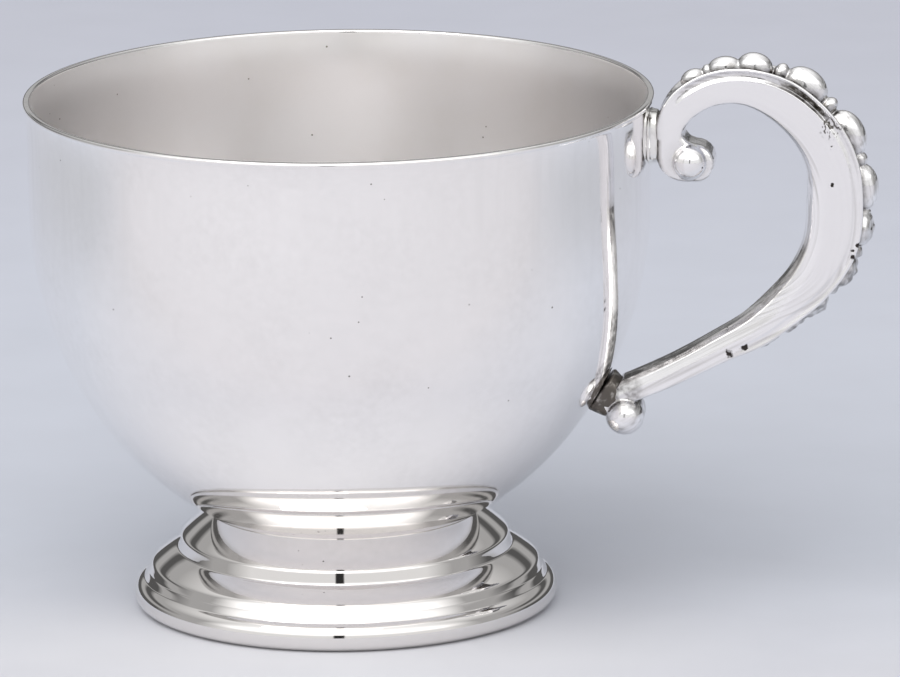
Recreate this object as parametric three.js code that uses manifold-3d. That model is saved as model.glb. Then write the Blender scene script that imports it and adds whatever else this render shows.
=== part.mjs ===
// A footed punch cup in silver plate: spun bowl, spun stepped foot and cast scroll handle, soldered together.
// Millimetres, +Z up, the foot stands on z = 0.
import * as THREE from 'three';
import { mergeVertices } from 'three/addons/utils/BufferGeometryUtils.js';
import Module from 'manifold-3d';

const wasm = await Module();
wasm.setup();

// Bowl
const rimDiameter = 80; // across the outside of the lip
const cupHeight = 66; // from the table to the top of the lip
const lipOverhang = 0.5; // how far the lip turns out past the wall
const lipHeight = 4; // stretch over which it turns out
const bowlSheet = 0.9; // thickness of the spun sheet
const wallHeight = 13.5; // upright wall above the rounded part
const bowlUnderside = 7.9; // height of the bowl's lowest point above the table

// Foot, from the table up
const footDiameter = 54; // across the half-round bead at the base
const footSheet = 0.9;
const beadRadius = 1.85; // half-round bead at the base
const beadCrease = 0.55; // from the bead's middle out to the crease above it
const restingWidth = 0.9; // flat ring that the cup stands on
const lowerStepInset = 2.35; // from the widest part of the bead in to the edge of the lower step
const lowerStepHeight = 5.6;
const lowerTread = 3.75; // from the lower step's edge in to the upper step's edge
const upperStepHeight = 9.1;
const upperStepDrop = 1.65; // height of the upper step's short wall
const upperStepFlare = 0.4; // how far that wall leans out
const upperTread = 4; // from the upper step's edge in to the neck
const stepCrown = 0.12; // how far the sloping tops of the steps bulge
const edgeRounding = 0.3; // softened edges of the steps

// Handle
const strapThickness = 5.5; // side to side
const handleReach = 22.5; // from the upper seat out to the middle of the strap at its widest
const handleLift = 1.65; // middle of the strap's top above the lip
const lowerSeatHeight = 27.6; // middle of the strap's end above the table
const lowerEndDepth = 2.4;
const innerRounding = 1.5; // rounded edges that the finger feels
const scrollDrop = 7.1; // centre of the scroll's heel below the lip
const scrollRadius = 3.5; // heel of the scroll
const upperRollerRadius = 2.25; // ball-ended roller that the scroll curls round
const lowerRollerRadius = 2.35; // ball-ended roller under the lower end
const rollerLength = 8.5; // tip to tip, both rollers
const rollerSink = 0.95; // how deep the lower roller sits in the strap
const lowerRollerSetback = 0.9; // from the strap's end out to the lower roller
const upperRollerSetback = 1; // from the heel out to the upper roller
const ridgeRadius = 0.6; // rounded ridge along both outer edges
const channelDepth = 0.75; // sunk channel between the ridges
const bossLength = 5.3; // largest of the graduated oval bosses
const bossWidth = 2.9;
const bossHeight = 1.6; // above the ridges
const pearlRadius = 0.95; // small beads between the bosses

// Joints
const seatGap = 0.3; // clearance between neighbours that meet on a curve
const upperSolder = 0.5; // thickness of the solder behind the scroll
const upperSolderHeight = 7.4;
const lowerSolder = 1; // thickness of the solder at the lower end
const lowerSolderHeight = 6.8;
const solderSpread = 1.7; // how far the solder runs out past each side of the strap
const solderBulge = 3.6; // roundness of the pads' edges
const footSolderLeg = 1.5; // leg of the fillet inside the foot

const roundSegments = 56;

const bowlRadius = rimDiameter / 2 - lipOverhang;
const shoulderHeight = cupHeight - wallHeight;
const bowlDepth = shoulderHeight - bowlUnderside;
const beadCentre = footDiameter / 2 - beadRadius;
const lowerStepRadius = footDiameter / 2 - lowerStepInset;
const upperStepRadius = lowerStepRadius - lowerTread;
const neckRadius = upperStepRadius - upperTread;
const upperSeat = bowlRadius + seatGap + upperSolder;
const lowerClearance = seatGap + lowerSolder + seatGap;

const polished = { color: 0xd9dadd, metalness: 1, roughness: 0.12 };
const cast = { color: 0xdededf, metalness: 1, roughness: 0.22 };
const solder = { color: 0xa9a7a2, metalness: 1, roughness: 0.4 };

// Height of the bowl's underside at a radius
function undersideAt(radius) {
  const share = radius / bowlRadius;
  return shoulderHeight - bowlDepth * Math.sqrt(1 - share * share);
}

// Radius of the rounded part of the bowl at a height, for the surface that stands clear of it by an offset
function bowlRadiusAt(height, offset) {
  const share = (shoulderHeight - height) / (bowlDepth + offset);
  return (bowlRadius + offset) * Math.sqrt(1 - share * share);
}

// Merged, closed geometry with no collapsed triangles
function closed(geometry) {
  geometry.deleteAttribute('normal');
  geometry.deleteAttribute('uv');
  const merged = mergeVertices(geometry, 1e-4);
  const corners = merged.index.array;
  const kept = [];
  for (let i = 0; i < corners.length; i += 3) {
    const [a, b, c] = corners.slice(i, i + 3);
    if (a !== b && b !== c && c !== a) kept.push(a, b, c);
  }
  merged.setIndex(kept);
  return merged;
}

function toSolid(geometry) {
  const merged = closed(geometry);
  const vertProperties = new Float32Array(merged.attributes.position.array);
  const triVerts = new Uint32Array(merged.index.array);
  return new wasm.Manifold(new wasm.Mesh({ numProp: 3, vertProperties, triVerts }));
}

function toGeometry(body) {
  const { vertProperties, triVerts } = body.getMesh();
  const geometry = new THREE.BufferGeometry();
  geometry.setAttribute('position', new THREE.BufferAttribute(vertProperties, 3));
  geometry.setIndex(new THREE.BufferAttribute(triVerts, 1));
  return geometry;
}

// Turned shape about the z axis from points of radius and height, outside first from the bottom up
function turned(points) {
  return new THREE.LatheGeometry(points, roundSegments).rotateX(Math.PI / 2);
}

function named(name, geometry, finish) {
  const mesh = new THREE.Mesh(geometry, new THREE.MeshStandardMaterial(finish));
  mesh.name = name;
  return mesh;
}

// Quarter ellipse from the bowl's bottom centre to its shoulder, moved out by an offset
function bowlCurve(offset, steps) {
  const across = bowlRadius + offset;
  const curve = new THREE.EllipseCurve(0, shoulderHeight, across, bowlDepth + offset, -Math.PI / 2, 0);
  const points = curve.getPoints(steps);
  points[0].x = 0;
  return points;
}

// Spun bowl: one sheet, open at the top, with its lip turned out and rounded over
function makeBowl() {
  const lipStart = cupHeight - lipHeight;
  const lipOuter = rimDiameter / 2;
  const lipInner = lipOuter - bowlSheet;
  const wallInner = bowlRadius - bowlSheet;
  const rounding = bowlSheet / 3;
  const bend = cupHeight - rounding - lipHeight / 3;
  const lip = new THREE.Path();
  lip.moveTo(bowlRadius, lipStart);
  lip.quadraticCurveTo(bowlRadius, bend, lipOuter, cupHeight - rounding);
  lip.quadraticCurveTo(lipOuter, cupHeight, lipOuter - rounding, cupHeight);
  lip.lineTo(lipInner + rounding, cupHeight);
  lip.quadraticCurveTo(lipInner, cupHeight, lipInner, cupHeight - rounding);
  lip.quadraticCurveTo(wallInner, bend, wallInner, lipStart);
  const outside = bowlCurve(0, 14);
  const inside = bowlCurve(-bowlSheet, 13).reverse();
  return closed(turned([...outside, ...lip.getPoints(3), ...inside]));
}

// Sloping, slightly crowned tread, softened edge and short wall of one step
function addStep(outline, edge, wallFoot) {
  const from = outline.currentPoint.clone();
  const slope = edge.clone().sub(from);
  const crown = new THREE.Vector2(-slope.y, slope.x).setLength(2 * stepCrown);
  const middle = from.clone().lerp(edge, 0.5).add(crown);
  const before = edge.clone().sub(slope.setLength(edgeRounding));
  const after = wallFoot.clone().sub(edge).setLength(edgeRounding).add(edge);
  outline.quadraticCurveTo(middle.x, middle.y, before.x, before.y);
  outline.quadraticCurveTo(edge.x, edge.y, after.x, after.y);
  outline.lineTo(wallFoot.x, wallFoot.y);
}

// Spun foot: one stepped sheet, open below, with a half-round bead that the cup stands on
function makeFoot() {
  const creaseAngle = Math.acos(beadCrease / beadRadius);
  const restAngle = -Math.acos(restingWidth / 2 / beadRadius);
  const upperEdge = new THREE.Vector2(upperStepRadius, upperStepHeight);
  const upperWallFoot = new THREE.Vector2(upperStepRadius + upperStepFlare, upperStepHeight - upperStepDrop);
  const lowerEdge = new THREE.Vector2(lowerStepRadius, lowerStepHeight);
  const crease = new THREE.Vector2(beadCentre + beadCrease, beadRadius * (1 + Math.sin(creaseAngle)));
  const outside = new THREE.Path();
  outside.moveTo(neckRadius, undersideAt(neckRadius) - seatGap);
  addStep(outside, upperEdge, upperWallFoot);
  addStep(outside, lowerEdge, crease);
  outside.absarc(beadCentre, beadRadius, beadRadius, creaseAngle, restAngle, true);
  outside.lineTo(beadCentre + restingWidth / 2, 0);

  const neckInside = neckRadius - footSheet;
  const inside = new THREE.Path();
  inside.moveTo(neckInside, undersideAt(neckInside) - seatGap);
  inside.lineTo(upperEdge.x - footSheet * 0.8, upperEdge.y - footSheet * 0.9);
  inside.lineTo(upperWallFoot.x - footSheet, upperWallFoot.y - footSheet * 0.5);
  inside.lineTo(lowerEdge.x - footSheet * 0.8, lowerEdge.y - footSheet * 0.8);
  inside.lineTo(beadCentre - footSheet, beadRadius * 2 - footSheet / 2);
  inside.lineTo(beadCentre - footSheet, footSheet / 2);
  inside.lineTo(beadCentre - restingWidth / 2, 0);
  const profile = [...outside.getPoints(3).reverse(), ...inside.getPoints()];
  return closed(turned([...profile, profile[0]]));
}

// Fillet of solder in the corner between the bowl's underside and the foot's neck, seen only from below
function makeFootSolder() {
  const outerRadius = neckRadius - footSheet - seatGap;
  const innerRadius = outerRadius - footSolderLeg;
  const corner = new THREE.Vector2(outerRadius, undersideAt(outerRadius) - seatGap);
  const inner = new THREE.Vector2(innerRadius, undersideAt(innerRadius) - seatGap);
  const under = new THREE.Vector2(outerRadius, corner.y - footSolderLeg);
  return closed(turned([under, corner, inner, under]));
}

// Strap from the scroll round to the lower arm: its middle by shares of the reach and the rise, and its depth
const strapStations = [
  { out: 0.073, up: 0.831, depth: 3.3 }, // back of the scroll
  { out: 0.084, up: 0.881, depth: 3.7 },
  { out: 0.16, up: 0.941, depth: 4.05 },
  { out: 0.316, up: 0.989, depth: 4.1 },
  { out: 0.502, up: 1, depth: 4.3 }, // top
  { out: 0.707, up: 0.96, depth: 4.9 },
  { out: 0.889, up: 0.871, depth: 5.4 },
  { out: 0.984, up: 0.761, depth: 6.4 },
  { out: 1, up: 0.636, depth: 7.4 }, // widest
  { out: 0.964, up: 0.493, depth: 7.4 },
  { out: 0.847, up: 0.376, depth: 6.1 },
  { out: 0.729, up: 0.295, depth: 4.9 },
  { out: 0.556, up: 0.213, depth: 3.7 },
  { out: 0.38, up: 0.162, depth: 2.9 }, // lower arm
  { out: 0.091, up: 0.081, depth: 2.65 },
];
const handleRise = cupHeight + handleLift - lowerSeatHeight;
const lowerSeat = bowlRadiusAt(lowerSeatHeight, lowerClearance);

// The last point lies past the lower seat, where the casting is cut to the bowl's curve
function makeStrapPath() {
  const points = strapStations.map(
    ({ out, up }) => new THREE.Vector3(upperSeat + out * handleReach, 0, lowerSeatHeight + up * handleRise),
  );
  const seat = new THREE.Vector3(lowerSeat, 0, lowerSeatHeight);
  points.push(seat.clone().sub(points.at(-1)).setLength(lowerClearance).add(seat));
  return new THREE.CatmullRomCurve3(points, false, 'centripetal');
}

const strapPath = makeStrapPath();
const strapDepths = [...strapStations.map((station) => station.depth), lowerEndDepth];
const depthCurve = new THREE.SplineCurve(strapDepths.map((depth, i) => new THREE.Vector2(i, depth)));
const strapDepthAt = (t) => depthCurve.getPoint(t).y;

// The channel runs out towards both ends of the strap
function channelAt(t) {
  const start = THREE.MathUtils.smoothstep(t, 0.03, 0.12);
  const end = 1 - THREE.MathUtils.smoothstep(t, 0.76, 0.86);
  return channelDepth * start * end;
}

// Section of the strap, outwards and sideways: rounded inner edges, flat sides, two ridges and a sunk channel
function strapSection(t) {
  const half = strapThickness / 2;
  const depth = strapDepthAt(t);
  const soft = innerRounding * THREE.MathUtils.lerp(0.45, 1, THREE.MathUtils.smoothstep(t, 0.2, 0.5));
  const round = Math.min(soft, depth * 0.45);
  const inner = -depth / 2;
  const outer = depth / 2;
  const side = [
    [inner, half - round],
    [inner + round * 0.3, half - round * 0.3],
    [inner + round, half],
    [outer - ridgeRadius * 1.5, half],
    [outer - ridgeRadius * 0.45, half - ridgeRadius * 0.25],
    [outer, half - ridgeRadius],
    [outer - channelAt(t) * 0.4, half - ridgeRadius * 1.7],
    [outer - channelAt(t), half - ridgeRadius * 2],
  ];
  const mirrored = side.map(([out, across]) => [out, -across]).reverse();
  return [...side, ...mirrored];
}

// Point on the strap's middle, the way along it and the way out of the C
function strapFrame(t) {
  const point = strapPath.getPoint(t);
  const along = strapPath.getTangent(t);
  const outwards = new THREE.Vector3(-along.z, 0, along.x);
  return { point, along, outwards };
}

// Strap lofted through its sections
function makeStrap() {
  const stations = 3 * strapStations.length;
  const positions = [];
  for (let i = 0; i <= stations; i += 1) {
    const { point, outwards } = strapFrame(i / stations);
    for (const [out, across] of strapSection(i / stations)) {
      positions.push(point.x + outwards.x * out, across, point.z + outwards.z * out);
    }
  }
  const endOutline = strapSection(1).map(([out, across]) => new THREE.Vector2(out, across));
  const count = endOutline.length;
  const faces = [];
  for (let i = 0; i < stations; i += 1) {
    for (let j = 0; j < count; j += 1) {
      const here = i * count + j;
      const next = i * count + ((j + 1) % count);
      faces.push(here, next, here + count, next, next + count, here + count);
    }
  }
  for (const [a, b, c] of THREE.ShapeUtils.triangulateShape(endOutline, [])) {
    faces.push(a, b, c);
    faces.push(stations * count + a, stations * count + c, stations * count + b);
  }
  const geometry = new THREE.BufferGeometry();
  geometry.setAttribute('position', new THREE.Float32BufferAttribute(positions, 3));
  geometry.setIndex(faces);
  return toSolid(geometry);
}

// Centre of the roller that the scroll curls round
const scrollHeel = new THREE.Vector2(upperSeat + scrollRadius, cupHeight - scrollDrop);
const upperEye = new THREE.Vector2(
  scrollHeel.x + upperRollerSetback,
  scrollHeel.y - scrollRadius + upperRollerRadius,
);

// End of the scroll: a comma that turns round its heel into the roller, with softened edges
function makeScroll() {
  const soft = 0.5;
  const overlap = 1; // how far the comma runs up inside the strap
  const start = strapFrame(0).point;
  const inner = start.x + strapDepthAt(0) / 2;
  const top = start.z + overlap;
  const outline = new THREE.Shape();
  outline.moveTo(upperSeat, top);
  outline.lineTo(upperSeat, scrollHeel.y);
  outline.absarc(scrollHeel.x, scrollHeel.y, scrollRadius, Math.PI, Math.PI * 1.5, false);
  outline.absarc(upperEye.x, upperEye.y, upperRollerRadius, -Math.PI / 2, Math.PI / 2, false);
  outline.quadraticCurveTo(inner - 0.3, upperEye.y + upperRollerRadius, inner, top);
  const comma = new THREE.ExtrudeGeometry(outline, {
    depth: strapThickness - 2 * soft,
    bevelThickness: soft,
    bevelSize: soft,
    bevelOffset: -soft,
    bevelSegments: 2,
    curveSegments: 5,
  });
  comma.translate(0, 0, soft - strapThickness / 2).rotateX(Math.PI / 2);
  return toSolid(comma);
}

// Ball-ended roller lying across the strap
function makeRoller(radius, x, z) {
  const roller = new THREE.CapsuleGeometry(radius, rollerLength - 2 * radius, 5, 18);
  roller.translate(x, 0, z);
  return toSolid(roller);
}

// Ornament along the channel: graduated ovals by their place along the strap, with pearls where there is room
const bossPlaces = [0.084, 0.138, 0.19, 0.262, 0.343, 0.428, 0.495, 0.561, 0.618, 0.668, 0.712];
const bossesEnd = 0.78; // where they would have shrunk to nothing
const bossWear = 0.6; // share of their height that the lower ones have lost
const firstPearl = 2; // no pearl fits between the first ovals

// The ovals swell from the scroll to the shoulder and shrink again towards the lower arm
function swellAt(place) {
  return Math.sqrt(Math.sin((Math.PI * place) / bossesEnd));
}

function makeBoss(place, length, width, height) {
  const t = strapPath.getUtoTmapping(place, null);
  const { point, along, outwards } = strapFrame(t);
  const floor = strapDepthAt(t) / 2 - channelAt(t);
  const oval = new THREE.SphereGeometry(1, 10, 7);
  const basis = new THREE.Matrix4().makeBasis(
    along.multiplyScalar(length / 2),
    outwards.clone().multiplyScalar(height + channelAt(t)),
    new THREE.Vector3(0, -width / 2, 0),
  );
  basis.setPosition(point.addScaledVector(outwards, floor));
  return toSolid(oval.applyMatrix4(basis));
}

function makeBosses() {
  const bosses = [];
  bossPlaces.forEach((place, i) => {
    const swell = swellAt(place);
    const wear = 1 - bossWear * THREE.MathUtils.smoothstep(place, 0.4, 0.56);
    bosses.push(makeBoss(place, bossLength * swell, bossWidth * swell, bossHeight * swell * wear));
    const next = bossPlaces[i + 1];
    if (i < firstPearl || next === undefined) return;
    const radius = pearlRadius * swell;
    bosses.push(makeBoss((place + next) / 2, 2 * radius, 2 * radius, radius * wear));
  });
  return bosses;
}

// Solid of the bowl's outside moved out by an offset, up to the top of the lip
function grownBowl(offset) {
  const wallTop = new THREE.Vector2(bowlRadius + offset, cupHeight - lipHeight);
  const lipTop = new THREE.Vector2(rimDiameter / 2 + offset, cupHeight);
  return toSolid(turned([...bowlCurve(offset, 24), wallTop, lipTop, new THREE.Vector2(0, cupHeight)]));
}

// The same below the shoulder only
function grownBottom(offset) {
  return toSolid(turned([...bowlCurve(offset, 24), new THREE.Vector2(0, shoulderHeight)]));
}

// Block behind the flat upper seat
function behindUpperSeat() {
  const block = new THREE.BoxGeometry(upperSeat, 2 * rollerLength, cupHeight);
  block.translate(upperSeat / 2, 0, cupHeight);
  return toSolid(block);
}

// Cast handle: strap, scroll, rollers and ornament in one piece, flat at its upper seat, curved at the lower
function makeHandle() {
  const hang = lowerEndDepth / 2 + lowerRollerRadius - rollerSink;
  const parts = [
    makeScroll(),
    makeRoller(upperRollerRadius, upperEye.x, upperEye.y),
    makeRoller(lowerRollerRadius, lowerSeat + lowerRollerSetback, lowerSeatHeight - hang),
    ...makeBosses(),
  ];
  let casting = makeStrap();
  for (const part of parts) casting = casting.add(part);
  casting = casting.subtract(behindUpperSeat()).subtract(grownBottom(lowerClearance));
  return toGeometry(casting);
}

// Oval pad of solder that fills the space at a seat and runs out past the strap
function solderPad(x, z, height, space) {
  const pad = new THREE.SphereGeometry(1, 20, 12);
  pad.scale(solderBulge, strapThickness / 2 + solderSpread, height / 2);
  pad.translate(x, 0, z);
  return toSolid(pad).intersect(space).subtract(grownBowl(seatGap));
}

function makeUpperSolder() {
  const middle = strapFrame(0).point.z;
  return toGeometry(solderPad(bowlRadius, middle, upperSolderHeight, behindUpperSeat()));
}

function makeLowerSolder() {
  const space = grownBottom(seatGap + lowerSolder);
  const inner = bowlRadiusAt(lowerSeatHeight, seatGap);
  return toGeometry(solderPad(inner, lowerSeatHeight, lowerSolderHeight, space));
}

const cup = new THREE.Group();
cup.add(named('bowl', makeBowl(), polished));
cup.add(named('foot', makeFoot(), polished));
cup.add(named('foot_solder', makeFootSolder(), solder));
cup.add(named('handle', makeHandle(), cast));
cup.add(named('upper_handle_solder', makeUpperSolder(), solder));
cup.add(named('lower_handle_solder', makeLowerSolder(), solder));

// The origin is under the middle of the whole cup, handle included
const overall = new THREE.Box3().setFromObject(cup);
cup.position.x = -(overall.min.x + overall.max.x) / 2;
cup.updateMatrixWorld(true);

export default cup;
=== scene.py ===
# Silver plated punch cup: spun bowl, spun stepped foot, cast scroll handle and the solder that joins them

import math

import bmesh
import bpy
from mathutils import Matrix, Vector, noise
from mathutils.geometry import interpolate_bezier


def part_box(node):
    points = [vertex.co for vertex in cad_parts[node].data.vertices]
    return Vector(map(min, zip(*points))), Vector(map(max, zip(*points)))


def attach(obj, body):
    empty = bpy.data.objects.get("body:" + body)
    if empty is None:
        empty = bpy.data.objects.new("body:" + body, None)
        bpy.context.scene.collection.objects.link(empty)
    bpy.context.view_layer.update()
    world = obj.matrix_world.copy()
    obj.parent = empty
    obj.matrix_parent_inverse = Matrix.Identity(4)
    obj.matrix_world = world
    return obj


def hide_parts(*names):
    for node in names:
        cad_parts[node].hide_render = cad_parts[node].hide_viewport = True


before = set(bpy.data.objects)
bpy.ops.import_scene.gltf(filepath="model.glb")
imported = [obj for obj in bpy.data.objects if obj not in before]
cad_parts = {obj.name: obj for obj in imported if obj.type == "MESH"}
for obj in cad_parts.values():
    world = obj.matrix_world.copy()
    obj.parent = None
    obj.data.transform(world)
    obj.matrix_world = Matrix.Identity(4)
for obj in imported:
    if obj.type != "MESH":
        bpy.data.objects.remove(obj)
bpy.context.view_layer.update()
mm = 0.001

bowlLow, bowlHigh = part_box("bowl")
axisX = (bowlLow.x + bowlHigh.x) / 2  # the bowl and foot turn about this upright line
print("frame loaded")

# camera: a long lens on the photograph's 900 x 677 frame
camera = {
    "distance": 1.45,
    "elevation": 13.6,
    "azimuth": 5.5,  # towards the handle
    "roll": -0.9,
    "aimHeight": 33 * mm,  # the point at this height on the bowl's axis shows at aimPixel
    "aimPixel": (342.3, 348.3),
    "pixelsPerMm": 7.873,
    "frame": (900, 677),
    "sensor": 36,
    "farthest": 20,
}


def placeCamera(c):
    focalPixels = c["pixelsPerMm"] * c["distance"] / mm
    width, height = c["frame"]
    data = bpy.data.cameras.new("photo camera")
    data.sensor_width = c["sensor"]
    data.lens = focalPixels / width * c["sensor"]
    data.clip_end = c["farthest"]
    eye = bpy.data.objects.new("photo camera", data)
    bpy.context.scene.collection.objects.link(eye)
    elevation, azimuth = math.radians(c["elevation"]), math.radians(c["azimuth"])
    level = math.cos(elevation)
    away = Vector((math.sin(azimuth) * level, -math.cos(azimuth) * level, math.sin(elevation)))
    aim = Vector((axisX, 0, c["aimHeight"]))
    turnRight = math.atan((width / 2 - c["aimPixel"][0]) / focalPixels)
    turnUp = math.atan((c["aimPixel"][1] - height / 2) / focalPixels)
    look = away.to_track_quat("Z", "Y").to_matrix()
    look = look @ Matrix.Rotation(math.radians(c["roll"]), 3, "Z")
    look = look @ Matrix.Rotation(-turnRight, 3, "Y") @ Matrix.Rotation(turnUp, 3, "X")
    eye.matrix_world = Matrix.Translation(aim + away * c["distance"]) @ look.to_4x4()
    bpy.context.scene.camera = eye


placeCamera(camera)
print("camera placed")


# sRGB hex to linear RGBA
def linear(code):
    parts = [int(code[i:i + 2], 16) / 255 for i in (1, 3, 5)]
    return [p / 12.92 if p <= 0.04045 else ((p + 0.055) / 1.055) ** 2.4 for p in parts] + [1]


# adds a node with its settings and its inputs, which are named, or else listed in the order of the sockets
# in use; a node given as an input stands for its first output in use
def add(tree, kind, inputs=(), **settings):
    node = tree.nodes.new(kind)
    for name, value in settings.items():
        setattr(node, name, value)
    if isinstance(inputs, dict):
        given = [(node.inputs[name], value) for name, value in inputs.items()]
    else:
        given = zip([socket for socket in node.inputs if socket.enabled], inputs)
    for socket, value in given:
        if isinstance(value, bpy.types.Node):
            value = next(output for output in value.outputs if output.enabled)
        if isinstance(value, bpy.types.NodeSocket):
            tree.links.new(value, socket)
        else:
            socket.default_value = value
    return node


def newMaterial(name):
    material = bpy.data.materials.new(name)
    material.use_nodes = True
    material.node_tree.nodes.clear()
    return material, material.node_tree


# the place in millimetres about the bowl's axis, times a pattern's turns in a millimetre
def millimetres(tree, turns=(1, 1, 1)):
    place = add(tree, "ShaderNodeTexCoord").outputs["Object"]
    place = add(tree, "ShaderNodeVectorMath", [place, (axisX, 0, 0)], operation="SUBTRACT")
    return add(tree, "ShaderNodeVectorMath", [place, [t / mm for t in turns]], operation="MULTIPLY")


dotCore = 0.6  # a dot is full up to this share of its radius, and fades from there


# scattered pin holes: a dot in a share of the cells
def pinHoles(tree, place, spacing, radius, share):
    cells = add(tree, "ShaderNodeTexVoronoi", {"Vector": place, "Scale": 1 / spacing})
    reach = radius / spacing
    dots = add(tree, "ShaderNodeMapRange", [cells, reach * dotCore, reach, 1, 0])
    chosen = add(tree, "ShaderNodeMapRange", [cells.outputs["Color"], 1 - share, 1.01 - share])
    return add(tree, "ShaderNodeMath", [dots, chosen], operation="MULTIPLY")


# in the materials a range is (from, to) of what goes in, and then of what comes out unless that is (0, 1);
# lengths and places are in mm about the bowl's axis, and turns are how often a pattern repeats in a mm

# silver plate, spun and buffed on a wheel: a mirror with haze from years of wiping, faint upright streaks,
# rings of the spinning tool and pin holes that show the base metal
buffedPlate = {
    "colour": "#FDFBFA",
    "hazeColour": "#F2F0EF",
    "mirror": 0.04,  # roughness without haze
    "haze": 0.12,  # and with it
    "cloud": 11,  # across a cloud of haze
    "cloudRange": (0.38, 0.68, 0.1, 0.7),
    "grain": 0.9,  # turns of the mottle inside a cloud
    "grainRange": (0.28, 0.72),
    "streak": (0.55, 0.55, 0.03),  # turns: narrow across, long up and down
    "streakRange": (0.4, 0.68),
    "streakHeight": (30, 62, 0.1, 0.65),  # the streaks grow towards the lip
    "streakAside": (10, 36, 0.25, 1),  # and towards both sides
    "ripple": 9,  # between the soft ripples that a hand-held wheel leaves
    "rippleDepth": 0.04,
    "ring": 1.3,  # between the rings that the spinning tool left under the bowl
    "ringDepth": 0.003,
    "ringHeight": (12, 22, 1, 0),
    "holes": [(6, 0.18, 0.35), (2.4, 0.13, 0.35)],  # spacing, radius and share of the cells
    "holeColour": "#7E7A76",
}


def makeBuffedPlate(name, p):
    material, tree = newMaterial(name)
    place = millimetres(tree)
    parts = add(tree, "ShaderNodeSeparateXYZ", [place]).outputs
    cloud = add(tree, "ShaderNodeTexNoise", {"Vector": place, "Scale": 1 / p["cloud"], "Detail": 3})
    cloud = add(tree, "ShaderNodeMapRange", [cloud, *p["cloudRange"]])
    grain = add(tree, "ShaderNodeTexNoise", {"Vector": place, "Scale": p["grain"], "Detail": 7})
    grain = add(tree, "ShaderNodeMapRange", [grain, *p["grainRange"]])
    mottle = add(tree, "ShaderNodeMath", [cloud, grain], operation="MULTIPLY")
    lines = millimetres(tree, p["streak"])
    streak = add(tree, "ShaderNodeTexNoise", {"Vector": lines, "Scale": 1, "Detail": 3})
    streak = add(tree, "ShaderNodeMapRange", [streak, *p["streakRange"]])
    high = add(tree, "ShaderNodeMapRange", [parts["Z"], *p["streakHeight"]])
    aside = add(tree, "ShaderNodeMath", [parts["X"]], operation="ABSOLUTE")
    aside = add(tree, "ShaderNodeMapRange", [aside, *p["streakAside"]])
    for share in (high, aside):
        streak = add(tree, "ShaderNodeMath", [streak, share], operation="MULTIPLY")
    haze = add(tree, "ShaderNodeMath", [mottle, streak], operation="MAXIMUM")
    roughness = add(tree, "ShaderNodeMapRange", [haze, 0, 1, p["mirror"], p["haze"]])
    colours = [linear(p["colour"]), linear(p["hazeColour"])]
    colour = add(tree, "ShaderNodeMix", [haze, *colours], data_type="RGBA")
    for hole in p["holes"]:
        dots = pinHoles(tree, place, *hole)
        colour = add(tree, "ShaderNodeMix", [dots, colour, linear(p["holeColour"])], data_type="RGBA")
    ripple = add(tree, "ShaderNodeTexNoise", {"Vector": place, "Scale": 1 / p["ripple"], "Detail": 1})
    ripple = add(tree, "ShaderNodeBump", {"Strength": 1, "Distance": p["rippleDepth"] * mm, "Height": ripple})
    fromAxis = add(tree, "ShaderNodeCombineXYZ", [parts["X"], parts["Y"]])
    fromAxis = add(tree, "ShaderNodeVectorMath", [fromAxis], operation="LENGTH")
    fromAxis = add(tree, "ShaderNodeMath", [fromAxis, 1 / p["ring"]], operation="MULTIPLY")
    rings = add(tree, "ShaderNodeTexNoise", {"W": fromAxis, "Scale": 1, "Detail": 2}, noise_dimensions="1D")
    low = add(tree, "ShaderNodeMapRange", [parts["Z"], *p["ringHeight"]])
    rings = add(tree, "ShaderNodeMath", [rings, low], operation="MULTIPLY")
    bump = add(tree, "ShaderNodeBump", {
        "Strength": 1, "Distance": p["ringDepth"] * mm, "Height": rings, "Normal": ripple,
    })
    shader = add(tree, "ShaderNodeBsdfPrincipled", {
        "Base Color": colour, "Roughness": roughness, "Normal": bump, "Metallic": 1,
    })
    add(tree, "ShaderNodeOutputMaterial", [shader])
    return material


# the inside of the bowl, left satin from fine abrasive: it scatters light in soft bands, warm with tarnish
satinPlate = {
    "colour": "#FDFBFB",
    "stain": "#F6F3F1",
    "stainSize": 12,
    "stainRange": (0.4, 0.75),
    "roughness": (0.3, 0.7, 0.278, 0.286),
    "coarser": (57, 65, 0, 0.045),  # heights between which the roughness grows by so much towards the lip
    "marks": (0.25, 0.25, 2.2),  # turns of the abrasive's marks, which run round the bowl
    "markDepth": 0.0002,
    "specks": (3, 0.15, 0.5),  # spacing, radius and share of the cells
    "speckColour": "#8A8178",
}


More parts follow.
